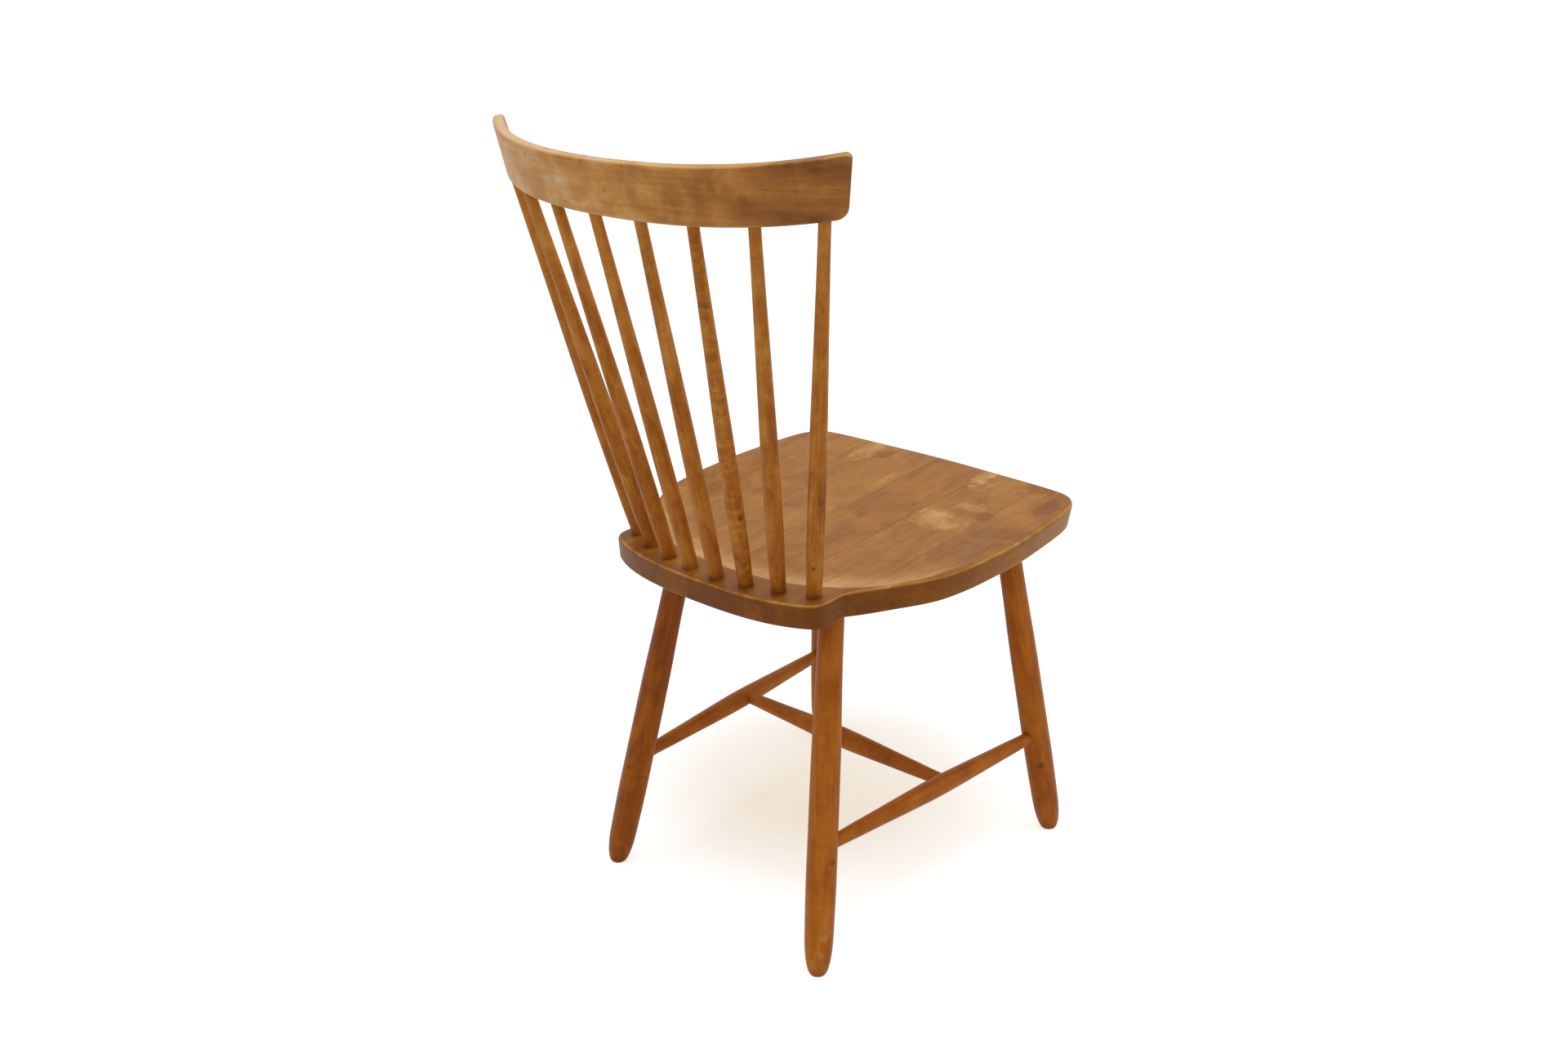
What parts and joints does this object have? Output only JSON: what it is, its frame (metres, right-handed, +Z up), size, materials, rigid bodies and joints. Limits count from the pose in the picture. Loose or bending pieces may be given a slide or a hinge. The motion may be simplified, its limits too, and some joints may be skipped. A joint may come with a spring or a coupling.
{
  "type": "windsor chair",
  "caption": "Wooden side chair with a saddled seat board, splayed turned legs, H stretchers, turned back spindles and a bent crest rail.",
  "frame": {"origin": "on the floor, under the middle of the chair's overall width and depth", "axes": "+Z up, the chair's front faces -Y, +X is towards the sitter's left"},
  "size_m": [0.4878, 0.5164, 0.8813],
  "materials": {
    "seat_stave_1": "worn clear satin varnish",
    "seat_stave_2": "worn clear satin varnish",
    "seat_stave_3": "worn clear satin varnish",
    "seat_stave_4": "worn clear satin varnish",
    "seat_stave_5": "worn clear satin varnish",
    "seat_stave_6": "worn clear satin varnish",
    "leg_rear_right": "stained, clear satin varnish",
    "leg_rear_left": "stained, clear satin varnish",
    "leg_front_right": "stained, clear satin varnish",
    "leg_front_left": "stained, clear satin varnish",
    "side_stretcher_right": "stained, clear satin varnish",
    "side_stretcher_left": "stained, clear satin varnish",
    "cross_stretcher": "stained, clear satin varnish",
    "spindle_1": "stained, clear satin varnish",
    "spindle_2": "stained, clear satin varnish",
    "spindle_3": "stained, clear satin varnish",
    "spindle_4": "stained, clear satin varnish",
    "spindle_5": "stained, clear satin varnish",
    "spindle_6": "stained, clear satin varnish",
    "spindle_7": "stained, clear satin varnish",
    "spindle_8": "stained, clear satin varnish",
    "crest_rail": "worn clear satin varnish"
  },
  "bodies": {
    "root": {"seat_stave_1": "seat_stave_1", "seat_stave_2": "seat_stave_2", "seat_stave_3": "seat_stave_3", "seat_stave_4": "seat_stave_4", "seat_stave_5": "seat_stave_5", "seat_stave_6": "seat_stave_6", "leg_rear_right": "leg_rear_right", "leg_rear_left": "leg_rear_left", "leg_front_right": "leg_front_right", "leg_front_left": "leg_front_left", "side_stretcher_right": "side_stretcher_right", "side_stretcher_left": "side_stretcher_left", "cross_stretcher": "cross_stretcher", "spindle_1": "spindle_1", "spindle_2": "spindle_2", "spindle_3": "spindle_3", "spindle_4": "spindle_4", "spindle_5": "spindle_5", "spindle_6": "spindle_6", "spindle_7": "spindle_7", "spindle_8": "spindle_8", "crest_rail": "crest_rail"}
  },
  "joints": []
}
